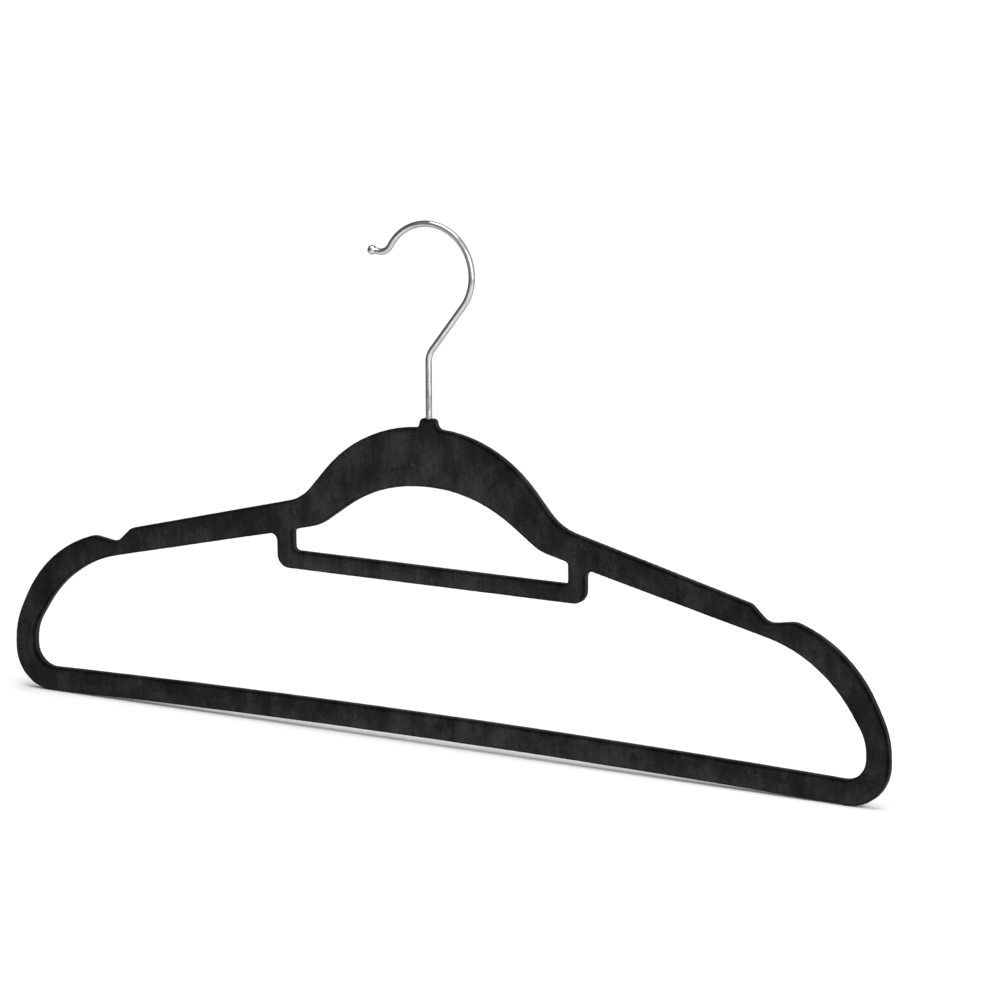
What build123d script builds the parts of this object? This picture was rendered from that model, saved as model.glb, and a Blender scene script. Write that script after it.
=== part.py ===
from build123d import *
import os
from math import asin, cos, degrees, sin, sqrt

# A slim flocked clothes hanger with a swivel hook. Sizes are in mm.
# While it is drawn, X runs along the hanger, Z is up, and zero height is the top of the neck.
# The finished solids are lowered so that the origin is the rail seat, inside the top of the hook.

half_width = 222.5      # half the hanger's length, over the flock
thickness = 5.3         # across both flocked faces
edge_radius = 1.6       # rounding along every edge, over the flock
pile = 0.4              # height of the flock on the core

arch_top = -4.4         # top of the arch, below the top of the neck
tie_bar_top = -66.3
tie_bar_bottom = -74.7
post_inside = 69.7      # half the gap between the two posts that carry the tie bar
post_outside = 78.2
bar_top = -136.0        # top of the trouser bar at its ends
bar_bottom = -147.5
bar_top_rise = 5.2      # how far the bar's two end tangents have risen where they meet
bar_bottom_rise = 6.0
bar_bow_radius = 7400   # the bar bows up by about 3 mm in the middle
inner_half_width = 211.6

neck_half_top = 3.7
neck_half_foot = 4.9
neck_root = 2.0         # how far the neck's block reaches down into the arch
neck_top_radius = 1.9
neck_foot_radius = 2.5  # where the neck blends into the arch

wire = 2.8              # hook wire diameter
hook_radius = 21.8      # to the wire's middle
hook_centre = 63.7      # height of the hook's centre above the neck
stem_bend = 28.0        # height where the stem leans over
stem_bend_radius = 9.0
hook_end_angle = 150    # where the hook's arc gives way to the turned-out tip
tip_radius = 6.0
tip_lift = 8            # degrees that the tip points up
tip_length = 3.2
bead_radius = 2.1

running_gap = 0.06      # between the hook and the neck, all round
bore_depth = 12.0
foot_gap = 0.4          # under the hook's foot
foot_chamfer = 0.3
rib_height = 8.0        # middle of the snap rib, below the top of the neck
rib_width = 1.2
rib_reach = 0.28        # how far the rib stands into the bore
rib_root = 0.1          # how far the rib's ring reaches into the bore's wall

seat_height = hook_centre + hook_radius - wire / 2
to_seat = Pos(0, 0, -seat_height)


def mirrored_outline(corners):
    """A closed face in X and Z from the corners of its right half, each (x, z, corner radius)."""
    left_half = [(-x, z, radius) for x, z, radius in reversed(corners) if x > 0]
    outline = corners + left_half
    points = [(x, z) for x, z, _ in outline]
    radii = [radius for _, _, radius in outline]
    return make_face(FilletPolyline(*points, radius=radii, close=True))


def frame_outline():
    """Arch, shoulders with a strap notch each, rounded ends and the bowed bottom edge."""
    return mirrored_outline([
        (32.9, arch_top, 66.0),
        (65.2, -42.0, 24.0),
        (157.2, -65.3, 4.5),
        (165.1, -72.7, 7.0),
        (178.0, -70.7, 10.0),
        (204.3, -79.7, 61.0),
        (half_width, -115.9, 40.0),
        (half_width, bar_bottom, 19.0),
        (0, bar_bottom + bar_bottom_rise, bar_bow_radius),
    ])


def neck_outline():
    """The small tapered block on top of the arch that the hook stands in."""
    foot = arch_top - neck_root
    return make_face(Polyline(
        (-neck_half_foot, foot), (-neck_half_top, 0), (neck_half_top, 0), (neck_half_foot, foot),
        close=True))


def main_opening():
    """The large opening between the shoulders and the trouser bar, round the tie bar."""
    return mirrored_outline([
        (post_outside, tie_bar_bottom, 6.0),
        (post_outside, -58.9, 3.0),
        (190.8, -84.8, 64.0),
        (inner_half_width, -117.7, 21.0),
        (inner_half_width, bar_top, 10.0),
        (0, bar_top + bar_top_rise, bar_bow_radius),
    ])


def arch_opening():
    """The bell-shaped opening between the arch and the tie bar."""
    return mirrored_outline([
        (24.0, -30.6, 71.0),
        (55.9, -53.4, 18.8),
        (post_inside, -56.7, 1.8),
        (post_inside, tie_bar_top, 1.8),
    ])


def plate_outline():
    """The hanger's flat shape over the flock, with the neck blended into the arch."""
    outline = frame_outline() + neck_outline()
    neck_corners = outline.vertices().group_by(Axis.Y)[-1]
    outline = fillet(neck_corners, radius=neck_top_radius)
    near_neck = outline.vertices().filter_by(lambda v: abs(v.X) < 2 * neck_half_foot)
    neck_feet = near_neck.filter_by(lambda v: abs(v.Y - arch_top) < neck_root / 2)
    outline = fillet(neck_feet, radius=neck_foot_radius)
    return outline - main_opening() - arch_opening()


def plate(inset):
    """The flat hanger with rounded edges, drawn in by the inset on every side."""
    sketch = offset(plate_outline(), amount=-inset) if inset else plate_outline()
    flat = extrude(Plane.XZ * sketch, amount=thickness / 2 - inset, both=True)
    rims = flat.edges().filter_by(lambda e: abs(abs(e.center().Y) - thickness / 2 + inset) < 1e-4)
    return fillet(rims, radius=edge_radius - inset)


def ring(outer, inner, width, height):
    """A flat ring about the Z axis, with its middle at the height given."""
    return Pos(0, 0, height) * (Cylinder(outer, width) - Cylinder(inner, width + 1))


def body_core():
    """The moulded plastic hanger: a plate with a bore in its neck and a snap rib in the bore."""
    bore_radius = wire / 2 + running_gap
    bore = Pos(0, 0, -bore_depth / 2) * Cylinder(bore_radius, bore_depth)
    rib = ring(bore_radius + rib_root, bore_radius - rib_reach, rib_width, -rib_height)
    return plate(pile) - bore + rib


def flock_coat():
    """The skin of short fibres over the whole core, open round the hook."""
    mouth = Cylinder(wire / 2 + running_gap, 4 * pile)
    return plate(0) - plate(pile) - mouth


def hook_path():
    """The hook's middle line: stem, lean, arc over the rail and turned-out tip."""
    rise = hook_centre - stem_bend
    lean = asin(hook_radius / rise)
    run = sqrt(rise ** 2 - hook_radius ** 2)
    tangent = (run * sin(lean), stem_bend + run * cos(lean))
    stem = FilletPolyline(
        (0, foot_gap - bore_depth), (0, stem_bend), tangent, radius=stem_bend_radius)
    arc = JernArc(stem @ 1, stem % 1, hook_radius, hook_end_angle + degrees(lean))
    curl = JernArc(arc @ 1, arc % 1, tip_radius, 90 - tip_lift - hook_end_angle)
    tip = Line(curl @ 1, curl @ 1 + (curl % 1) * tip_length)
    return Plane.XZ * Wire(stem.edges() + arc.edges() + curl.edges() + tip.edges())


def hook():
    """The bent wire, with a bead on its tip and a groove near its foot for the snap rib."""
    path = hook_path()
    start = Plane(origin=path @ 0, z_dir=path % 0)
    body = sweep(start * Circle(wire / 2), path=path)
    bead = Pos(*(path @ 1)) * Sphere(bead_radius)
    groove_radius = wire / 2 - rib_reach
    groove = ring(wire, groove_radius, rib_width + 2 * running_gap, -rib_height)
    foot_edge = body.edges().filter_by(GeomType.CIRCLE).sort_by(Axis.Z)[0]
    body = chamfer(foot_edge, foot_chamfer)
    return body + bead - groove


os.makedirs("parts", exist_ok=True)
nodes = {"body_core": body_core(), "flock_coat": flock_coat(), "hook": hook()}
for name, solid in nodes.items():
    export_step(to_seat * solid, f"parts/{name}.step")
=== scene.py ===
from math import asin, cos, exp, pi, radians, sin, sqrt, tan

import bmesh
import bpy
from mathutils import Euler, Matrix, Vector, noise
from mathutils.bvhtree import BVHTree
from mathutils.kdtree import KDTree


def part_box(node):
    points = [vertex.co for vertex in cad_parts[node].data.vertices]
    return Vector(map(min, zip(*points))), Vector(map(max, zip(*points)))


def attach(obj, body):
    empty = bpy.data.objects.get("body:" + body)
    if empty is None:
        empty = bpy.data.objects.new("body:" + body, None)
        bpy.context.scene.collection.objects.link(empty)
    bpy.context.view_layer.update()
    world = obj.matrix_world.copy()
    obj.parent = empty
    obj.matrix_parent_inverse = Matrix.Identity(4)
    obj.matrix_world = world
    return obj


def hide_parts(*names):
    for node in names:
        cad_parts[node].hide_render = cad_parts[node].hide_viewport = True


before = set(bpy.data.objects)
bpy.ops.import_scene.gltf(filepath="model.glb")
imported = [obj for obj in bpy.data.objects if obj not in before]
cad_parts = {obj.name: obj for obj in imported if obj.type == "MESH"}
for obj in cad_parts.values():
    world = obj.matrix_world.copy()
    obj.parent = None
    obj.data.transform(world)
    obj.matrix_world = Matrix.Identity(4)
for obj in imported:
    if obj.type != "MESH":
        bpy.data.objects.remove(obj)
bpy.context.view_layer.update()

# A slim flocked clothes hanger: a black flocked body that swivels on a chromed wire hook.
# Lengths are in metres, in the CAD frame: X along the hanger, Z up, the rail's seat at the origin.

MM = 0.001
coat_low, coat_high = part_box("flock_coat")
hook_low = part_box("hook")[0]

# body and flock
neck_top = coat_high.z
pile = 0.4 * MM
inner_skin = 0.75 * pile       # faces of the coat nearer to the core than this are its inside
mesh_step = 0.75 * MM          # spacing of the flock's mesh
flock_sharp_angle = radians(50)
mouth_margin = 0.04 * MM       # how much wider the flock's mouth is than the bore
relief_depth = 0.11 * MM       # how far the brushed pile dips at most
swell_size = 17 * MM           # slow swells in the pile's relief
stroke_size = (2.4 * MM, 6 * MM, 15 * MM)
tuft_size = 1.6 * MM
tuft_shift = Vector((40, 0, 0))  # keeps the tufts' noise apart from the swells'
neck_height = 4.4 * MM
neck_blend = 2 * MM            # how far below the neck the paler arch sets in
grip_reach = 75 * MM           # half-width of the paler stretch at the arch, partly rubbed by hands and partly painted light
side_normal = 0.6              # a point faces sideways where its normal's Y is under this
border_fade = 3.0 * MM         # how far in from an edge the painted light and shade of the border reaches

# hook wire
wire = 2.8 * MM
running_gap = 0.06 * MM
hook_radius = 21.8 * MM        # of the wire's centre line
hook_centre = 63.7 * MM        # above the neck's top
stem_bend = 28.0 * MM
stem_bend_radius = 9.0 * MM
hook_end_angle = radians(150)
tip_radius = 6.0 * MM
tip_lift = radians(8)
tip_length = 3.2 * MM
bead_radius = 2.1 * MM
foot_chamfer = 0.3 * MM
rib_height = 8.0 * MM
rib_width = 1.2 * MM
rib_reach = 0.28 * MM
round_segments = 40            # sides of the round wire and its mouth
ring_step = 0.4 * MM           # spacing of the rings along the wire
bead_rings = 18
wire_sharp_angle = radians(40)

# camera: a long lens from the front right, a little above the hanger
camera_lens = 159.7            # in millimetres, on a 36 mm sensor
camera_place = (0.9599, -1.6387, 0.2823)
camera_drop = radians(11.98)   # how far it looks down
camera_turn = radians(29.43)
camera_roll = radians(-0.18)

# floor and room
floor_radius = 0.6
floor_white = 0.93
room_dark_side = 0.18          # the room's strength from the left
room_bright_side = 0.80        # and from the right
room_spread = 0.8              # how far to each side the change between them reaches
backdrop_strength = 1.05


# ---------------------------------------------------------------- small helpers

class Graph:
    """A material's nodes, with a short way to add one."""

    def __init__(self, name):
        self.material = bpy.data.materials.new(name)
        self.material.use_nodes = True
        self.tree = self.material.node_tree
        self.shader = self.tree.nodes["Principled BSDF"]

    def set(self, node, values):
        for socket, value in values.items():
            if isinstance(value, bpy.types.NodeSocket):
                self.tree.links.new(value, node.inputs[socket])
            else:
                node.inputs[socket].default_value = value

    def add(self, kind, values=None, **settings):
        node = self.tree.nodes.new(kind)
        for name, value in settings.items():
            setattr(node, name, value)
        self.set(node, values or {})
        return node

    def coordinates(self):
        return self.add("ShaderNodeTexCoord").outputs["Object"]

    def attribute(self, name, output="Fac"):
        return self.add("ShaderNodeAttribute", attribute_name=name).outputs[output]

    def stretched(self, vector, sizes):
        """The vector with each axis divided by a feature size."""
        scale = [1 / size for size in sizes]
        return self.add("ShaderNodeMapping", {"Vector": vector, "Scale": scale}).outputs[0]

    def noise(self, vector, size, detail=2.0, roughness=0.5):
        values = {"Vector": vector, "Scale": 1 / size, "Detail": detail, "Roughness": roughness}
        return self.add("ShaderNodeTexNoise", values).outputs["Fac"]

    def spread(self, value, low, high, to_low=0.0, to_high=1.0):
        """The value's range from low to high, stretched to another range and held there."""
        values = {"Value": value, "From Min": low, "From Max": high,
                  "To Min": to_low, "To Max": to_high}
        return self.add("ShaderNodeMapRange", values, clamp=True).outputs[0]

    def math(self, operation, a, b):
        node = self.add("ShaderNodeMath", operation=operation)
        self.set(node, {0: a, 1: b})
        return node.outputs[0]

    def total(self, values):
        """The sum of several values, added in their order."""
        result = values[0]
        for value in values[1:]:
            result = self.math("ADD", result, value)
        return result

    def colour(self, value, stops):
        """A ramp of (position, colour) stops."""
        node = self.add("ShaderNodeValToRGB", {"Fac": value})
        ramp = node.color_ramp
        while len(ramp.elements) < len(stops):
            ramp.elements.new(0.5)
        for element, (position, colour) in zip(ramp.elements, stops):
            element.position = position
            element.color = (*colour, 1)
        return node.outputs["Color"]

    def bump(self, height, distance, strength=1.0, below=None):
        values = {"Height": height, "Distance": distance, "Strength": strength}
        if below is not None:
            values["Normal"] = below
        return self.add("ShaderNodeBump", values).outputs["Normal"]


def new_object(name, mesh_data):
    """A new object in the scene, made from a bmesh or from mesh data."""
    if isinstance(mesh_data, bmesh.types.BMesh):
        mesh = bpy.data.meshes.new(name)
        mesh_data.to_mesh(mesh)
        mesh_data.free()
    else:
        mesh = mesh_data
    made = bpy.data.objects.new(name, mesh)
    bpy.context.scene.collection.objects.link(made)
    return made


def modified_mesh(obj):
    """The object's mesh with its modifiers applied."""
    bpy.context.view_layer.update()
    evaluated = obj.evaluated_get(bpy.context.evaluated_depsgraph_get())
    return bpy.data.meshes.new_from_object(evaluated)


def smooth(mesh, sharp_angle):
    """Shades the mesh smooth, except at edges sharper than the angle."""
    for polygon in mesh.polygons:
        polygon.use_smooth = True
    mesh.set_sharp_from_angle(angle=sharp_angle)


def cad_mesh(node):
    """A copy of a CAD node's mesh, welded."""
    mesh = bmesh.new()
    mesh.from_mesh(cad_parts[node].data)
    bmesh.ops.remove_doubles(mesh, verts=mesh.verts, dist=0.001 * MM)
    return mesh


# ---------------------------------------------------------------- the flock

def coat_skin():
    """The coat's outer surface alone, closed over its mouth."""
    skin = cad_mesh("flock_coat")
    core = cad_mesh("body_core")
    core_tree = BVHTree.FromBMesh(core)
    core.free()
    inner = [face for face in skin.faces
             if core_tree.find_nearest(face.calc_center_median())[3] < inner_skin]
    bmesh.ops.delete(skin, geom=inner, context="FACES")
    bmesh.ops.holes_fill(skin, edges=skin.edges, sides=0)
    return skin


def evenly_meshed(skin):
    """The skin as a fine, even mesh whose points lie on it."""
    guide = new_object("coat_guide", skin)
    rough = new_object("coat_rough", guide.data.copy())
    remesh = rough.modifiers.new("even", "REMESH")
    remesh.mode = "VOXEL"
    remesh.voxel_size = mesh_step
    settle = rough.modifiers.new("settle", "SHRINKWRAP")
    settle.target = guide
    settle.wrap_method = "NEAREST_SURFACEPOINT"
    mesh = modified_mesh(rough)
    bpy.data.objects.remove(rough)
    bpy.data.objects.remove(guide)
    return mesh


def brushed(place):
    """How far the pile lies down at a point, from 0 to 1: swells, brush strokes and tufts."""
    swell = noise.noise(place / swell_size)
    stroke = noise.noise(Vector([along / size for along, size in zip(place, stroke_size)]))
    tuft = noise.noise(place / tuft_size + tuft_shift)
    return min(1, max(0, 0.5 + 0.45 * swell + 0.25 * stroke + 0.3 * tuft))


def rubbing_and_light(place):
    """How pale the arch is made, partly by hands rubbing the pile and partly as painted light: most
    on the arch, none up on the neck.
    """
    across = abs(place.x) / grip_reach
    neck = min(1, max(0, (neck_top - place.z) / (neck_height + neck_blend) - 0.6))
    return exp(-across ** 2) * min(1, 1.6 * neck)


def add_relief(mesh):
    """Lays the pile down unevenly, always inwards, and marks the borders, edges and the paler arch.

    The border light is painted light, 1 by an edge that faces down, and painted shade, -1 by one
    that faces up, as on a dished face lit from above; it fades across the face.
    """
    rim = [(vertex.co.copy(), vertex.normal.z) for vertex in mesh.vertices
           if abs(vertex.normal.y) < side_normal]
    tree = KDTree(len(rim))
    for index, (place, _) in enumerate(rim):
        tree.insert(place, index)
    tree.balance()
    border_light = mesh.attributes.new("border_light", "FLOAT", "POINT")
    edge = mesh.attributes.new("edge", "FLOAT", "POINT")
    rubbed_and_lit = mesh.attributes.new("rubbed_and_lit", "FLOAT", "POINT")
    moved = []
    for vertex in mesh.vertices:
        _, nearest, distance = tree.find(vertex.co)
        # painted light by edges that face down, painted shade by edges that face up, fading across
        # the face
        border_light.data[vertex.index].value = -rim[nearest][1] * exp(-distance / border_fade)
        edge.data[vertex.index].value = 1 - abs(vertex.normal.y)
        # the arch is paler, partly rubbed by hands and partly painted light from above
        rubbed_and_lit.data[vertex.index].value = rubbing_and_light(vertex.co)
        moved.append(vertex.co - vertex.normal * relief_depth * brushed(vertex.co))
    for vertex, place in zip(mesh.vertices, moved):
        vertex.co = place
    mesh.update()


def cut_by(obj, cutter):
    """Takes the cutter's solid out of the object's."""
    cut = obj.modifiers.new("cut", "BOOLEAN")
    cut.operation = "DIFFERENCE"
    cut.solver = "EXACT"
    cut.object = cutter
    mesh = modified_mesh(obj)
    obj.modifiers.clear()
    obj.data = mesh
    bpy.data.objects.remove(cutter)


def mouth_cutter():
    """A round plug, a little wider than the neck's bore, that stands out above the neck."""
    plug = bmesh.new()
    height = 15 * MM
    above_neck = 2 * MM
    place = Matrix.Translation((0, 0, neck_top + above_neck - height / 2))
    radius = wire / 2 + running_gap + mouth_margin
    bmesh.ops.create_cone(plug, cap_ends=True, segments=round_segments, radius1=radius,
                          radius2=radius, depth=height, matrix=place)
    return new_object("mouth_cutter", plug)


def make_flock():
    """The flocked coat: a thin shell over the core, open where the wire goes in."""
    mesh = evenly_meshed(coat_skin())
    add_relief(mesh)
    flock = new_object("flock_pile", mesh)
    cut_by(flock, new_object("core_cutter", cad_mesh("body_core")))
    cut_by(flock, mouth_cutter())
    smooth(flock.data, flock_sharp_angle)
    flock.data.materials.clear()
    flock.data.materials.append(flock_material())
    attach(flock, "hanger_body")
    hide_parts("flock_coat")


# ---------------------------------------------------------------- the hook

def wire_runs():
    """The wire's stretches from its foot to its tip: (length, turn), a left turn above zero."""
    rise = hook_centre - stem_bend
    lean = asin(hook_radius / rise)
    cut_back = stem_bend_radius * tan(lean / 2)
    slope = sqrt(rise ** 2 - hook_radius ** 2)
    foot = neck_top - hook_low.z
    curl = hook_end_angle + tip_lift - pi / 2
    return [(foot + stem_bend - cut_back, 0),
            (stem_bend_radius * lean, -lean),
            (slope - cut_back, 0),
            (hook_radius * (hook_end_angle + lean), hook_end_angle + lean),
            (tip_radius * curl, -curl),
            (tip_length, 0)]


def wire_at(distance, runs):
    """The centre line's point and heading at a distance from the foot."""
    place = Vector((0, 0, hook_low.z))
    heading = pi / 2
    for length, turn in runs:
        part = min(distance, length)
        half_turn = turn * part / length / 2
        chord = part * (sin(half_turn) / half_turn if half_turn else 1)
        middle = heading + half_turn
        place += chord * Vector((cos(middle), 0, sin(middle)))
        heading += 2 * half_turn
        distance -= part
    return place + distance * Vector((cos(heading), 0, sin(heading))), heading


def wire_radius(distance, length):
    """The wire's radius at a distance from the foot: chamfer, snap groove, plain wire and bead."""
    past_tip = distance - length
    if past_tip > -sqrt(bead_radius ** 2 - (wire / 2) ** 2):
        return sqrt(max(0, bead_radius ** 2 - past_tip ** 2))
    if abs(neck_top - hook_low.z - rib_height - distance) < rib_width / 2 + running_gap:
        return wire / 2 - rib_reach
    return wire / 2 - max(0, foot_chamfer - distance)


def wire_stops(length):
    """Distances from the foot where the wire gets a ring: even ones, then closer on the bead."""
    bead_start = length - sqrt(bead_radius ** 2 - (wire / 2) ** 2)
    steps = round(bead_start / ring_step)
    stops = [bead_start * step / steps for step in range(steps)]
    bead_angle = asin((length - bead_start) / bead_radius)
    for step in range(bead_rings):
        angle = -bead_angle + (pi / 2 + bead_angle) * step / bead_rings
        stops.append(length + bead_radius * sin(angle))
    return stops


def wire_ring(tube, along, stop, runs, length):
    """One ring of points round the wire, each marked with its place on the straight wire."""
    place, heading = wire_at(stop, runs)
    radius = wire_radius(stop, length)
    left = Vector((-sin(heading), 0, cos(heading)))
    ring = []
    for segment in range(round_segments):
        angle = 2 * pi * segment / round_segments
        outward = left * cos(angle) + Vector((0, 1, 0)) * sin(angle)
        vertex = tube.verts.new(place + radius * outward)
        vertex[along] = (stop, wire / 2 * cos(angle), wire / 2 * sin(angle))
        ring.append(vertex)
    return ring


def make_hook():
    """The chromed wire hook, as one swept tube."""
    runs = wire_runs()
    length = sum(run[0] for run in runs)
    tube = bmesh.new()
    along = tube.verts.layers.float_vector.new("along")
    rings = [wire_ring(tube, along, stop, runs, length) for stop in wire_stops(length)]
    for ring, following in zip(rings, rings[1:]):
        for segment in range(round_segments):
            after = (segment + 1) % round_segments
            tube.faces.new((ring[segment], ring[after], following[after], following[segment]))
    tube.faces.new(rings[0])
    end = tube.verts.new(wire_at(length + bead_radius, runs)[0])
    end[along] = (length + bead_radius, 0, 0)
    for segment in range(round_segments):
        tube.faces.new((rings[-1][segment], rings[-1][(segment + 1) % round_segments], end))
    bmesh.ops.recalc_face_normals(tube, faces=tube.faces)
    hook = new_object("hook_wire", tube)
    smooth(hook.data, wire_sharp_angle)
    hook.data.materials.append(chrome_material())
    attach(hook, "hook")
    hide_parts("hook")


# ---------------------------------------------------------------- materials

def flock_tone(graph, place, speckle):
    """How light the pile is at each point, its own tone with painted light and shade added on its
    borders, edges and arch: about 0 where it lies darkest, 1 where it is palest.
    """
    cloud = graph.noise(graph.stretched(place, (11 * MM, 11 * MM, 15 * MM)), 1, 4, 0.72)
    patch = graph.noise(graph.stretched(place, (40 * MM, 30 * MM, 30 * MM)), 1, 1, 0.5)
    strokes = graph.noise(graph.stretched(place, (3.2 * MM, 8 * MM, 14 * MM)), 1, 2, 0.5)
    lint = graph.noise(place, 1.6 * MM, 0)
    edge = graph.attribute("edge")
    # painted shade on the edges' rounding and painted sheen on the side faces, from how far the
    # surface turns from the face
    painted_shade_rounding = graph.spread(edge, 0.02, 0.2, 0, -0.36)
    painted_sheen_side = graph.spread(edge, 0.7, 0.95, 0, 0.45)
    return graph.total([
        graph.spread(cloud, 0.3, 0.7, 0, 0.52),
        graph.spread(patch, 0.45, 0.75, 0, 0.2),
        graph.spread(strokes, 0.3, 0.7, 0, 0.16),
        graph.spread(speckle, 0.3, 0.7, 0, 0.24),
        graph.spread(lint, 0.82, 0.86, 0, 0.4),
        # painted light by edges that face down, painted shade by edges that face up
        graph.math("MULTIPLY", graph.attribute("border_light"), 0.16),
        # paler arch: partly rubbed by hands, partly painted light
        graph.math("MULTIPLY", graph.attribute("rubbed_and_lit"), 0.16),
        painted_shade_rounding,
        painted_sheen_side,
    ])


def flock_material():
    """Black electrostatic flock: clouds, strokes, speckle, lint, painted light and shade along the
    borders, painted shade on the rounded edges and painted sheen on the sides.
    """
    graph = Graph("black_flock")
    place = graph.coordinates()
    speckle = graph.noise(place, 0.9 * MM, 2, 0.6)
    tone = flock_tone(graph, place, speckle)
    base = graph.colour(tone, [(0.0, (0.0017, 0.0017, 0.0018)), (0.5, (0.0092, 0.0092, 0.0098)),
                               (1.0, (0.0320, 0.0320, 0.0345))])
    fibre = graph.noise(place, 0.35 * MM, 2, 0.6)
    normal = graph.bump(fibre, 0.12 * MM, 0.6)
    normal = graph.bump(speckle, 0.15 * MM, 0.5, normal)
    graph.set(graph.shader, {
        "Base Color": base,
        "Roughness": 0.95,
        "Specular IOR Level": graph.spread(tone, 0, 0.5, 0.02, 0.12),
        "Sheen Weight": 0.085,
        "Sheen Roughness": 0.4,
        "Sheen Tint": (0.86, 0.87, 0.92, 1),
        "Normal": normal,
    })
    return graph.material


def chrome_material():
    """Bright chrome on drawn wire: fine lengthwise streaks, a faint haze and a painted dark
    reflection on its flanks.
    """
    graph = Graph("hook_chrome")
    along = graph.attribute("along", "Vector")
    lines = graph.noise(graph.stretched(along, (9 * MM, 0.25 * MM, 0.25 * MM)), 1, 3, 0.6)
    haze = graph.noise(graph.stretched(along, (6 * MM, 1.5 * MM, 1.5 * MM)), 1, 2, 0.5)
    # painted dark reflection: the base colour darkens on the flanks, where the wire turns away from
    # the view
    facing = graph.add("ShaderNodeLayerWeight", {"Blend": 0.5}).outputs["Facing"]
    painted_dark_flank = graph.spread(facing, 0.2, 0.6, 1, 0.35)
    shine = graph.math("MULTIPLY", graph.spread(haze, 0.3, 0.7, 0.74, 1), painted_dark_flank)
    graph.set(graph.shader, {
        "Base Color": graph.colour(shine, [(0.0, (0, 0, 0)), (1.0, (0.62, 0.62, 0.63))]),
        "Metallic": 1.0,
        "Roughness": graph.spread(haze, 0.3, 0.7, 0.10, 0.26),
        "Normal": graph.bump(lines, 0.02 * MM, 0.5),
    })
    return graph.material


def core_material():
    """Black moulded plastic with a fine spark texture and soft flow marks."""
    graph = Graph("core_plastic_black")
    place = graph.coordinates()
    grain = graph.noise(place, 0.3 * MM, 2, 0.6)
    flow = graph.noise(graph.stretched(place, (30 * MM, 10 * MM, 6 * MM)), 1, 3, 0.5)
    base = graph.colour(flow, [(0.3, (0.008, 0.008, 0.009)), (0.7, (0.016, 0.016, 0.017))])
    graph.set(graph.shader, {
        "Base Color": base,
        "Roughness": graph.spread(flow, 0.3, 0.7, 0.38, 0.55),
        "Normal": graph.bump(grain, 0.03 * MM, 0.4),
    })
    return graph.material


def dress_core():
    """Gives the moulded core its plastic. Only the mouth of the neck shows it."""
    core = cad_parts["body_core"]
    material = core_material()
    for slot in core.material_slots:
        slot.material = material


# ---------------------------------------------------------------- camera, stage and light

def make_camera():
    """A long lens from the front right, a little above the hanger."""
    data = bpy.data.cameras.new("camera")
    data.lens = camera_lens
    data.sensor_width = 36.0
    camera = bpy.data.objects.new("camera", data)
    bpy.context.scene.collection.objects.link(camera)
    camera.location = camera_place
    aim = Euler((pi / 2 - camera_drop, 0, camera_turn)).to_matrix()
    roll = Matrix.Rotation(camera_roll, 3, "Z")
    camera.rotation_euler = (aim @ roll).to_euler()
    bpy.context.scene.camera = camera


def make_floor():
    """A plain white table top, just under the hanger."""
    disc = bmesh.new()
    bmesh.ops.create_circle(disc, cap_ends=True, segments=96, radius=floor_radius)
    floor = new_object("floor", disc)
    floor.location = (0, 0, coat_low.z)
    graph = Graph("floor_paper")
    graph.set(graph.shader, {"Base Color": (floor_white, floor_white, floor_white, 1),
                             "Roughness": 0.95, "Specular IOR Level": 0.0})
    floor.data.materials.append(graph.material)


def soft_light(name, place, width, height, power):
    """One large softbox, aimed at the hanger's middle."""
    data = bpy.data.lights.new(name, "AREA")
    data.shape = "RECTANGLE"
    data.size = width
    data.size_y = height
    data.energy = power
    light = bpy.data.objects.new(name, data)
    bpy.context.scene.collection.objects.link(light)
    light.location = place
    middle = (coat_low + coat_high) / 2
    light.rotation_euler = (Vector(place) - middle).to_track_quat("Z", "Y").to_euler()


def make_room():
    """A white surround for the camera; for everything else a room that is brighter on the right."""
    world = bpy.data.worlds.new("studio")
    bpy.context.scene.world = world
    world.use_nodes = True
    nodes = world.node_tree.nodes
    links = world.node_tree.links
    direction = nodes.new("ShaderNodeSeparateXYZ")
    links.new(nodes.new("ShaderNodeTexCoord").outputs["Generated"], direction.inputs[0])
    side = nodes.new("ShaderNodeMapRange")
    side.inputs["From Min"].default_value = -room_spread
    side.inputs["From Max"].default_value = room_spread
    side.inputs["To Min"].default_value = room_dark_side
    side.inputs["To Max"].default_value = room_bright_side
    links.new(direction.outputs["X"], side.inputs["Value"])
    room = nodes["Background"]
    room.inputs["Color"].default_value = (1, 1, 1, 1)
    links.new(side.outputs[0], room.inputs["Strength"])
    white = nodes.new("ShaderNodeBackground")
    white.inputs["Color"].default_value = (1, 1, 1, 1)
    white.inputs["Strength"].default_value = backdrop_strength
    seen = nodes.new("ShaderNodeLightPath").outputs["Is Camera Ray"]
    mix = nodes.new("ShaderNodeMixShader")
    links.new(seen, mix.inputs[0])
    links.new(room.outputs[0], mix.inputs[1])
    links.new(white.outputs[0], mix.inputs[2])
    links.new(mix.outputs[0], nodes["World Output"].inputs["Surface"])


def make_lights():
    """A large softbox overhead, a key from the front right and a low one close on the right."""
    soft_light("top_light", place=(0.0, -0.2, 1.8), width=1.8, height=1.8, power=32)
    soft_light("key_light", place=(0.75, -1.25, 0.45), width=0.5, height=1.5, power=3.5)
    soft_light("side_light", place=(1.1, -0.5, 0.2), width=0.3, height=1.0, power=8)
    bpy.context.scene.view_settings.view_transform = "Standard"


make_flock()
make_hook()
dress_core()
make_camera()
make_floor()
make_room()
make_lights()
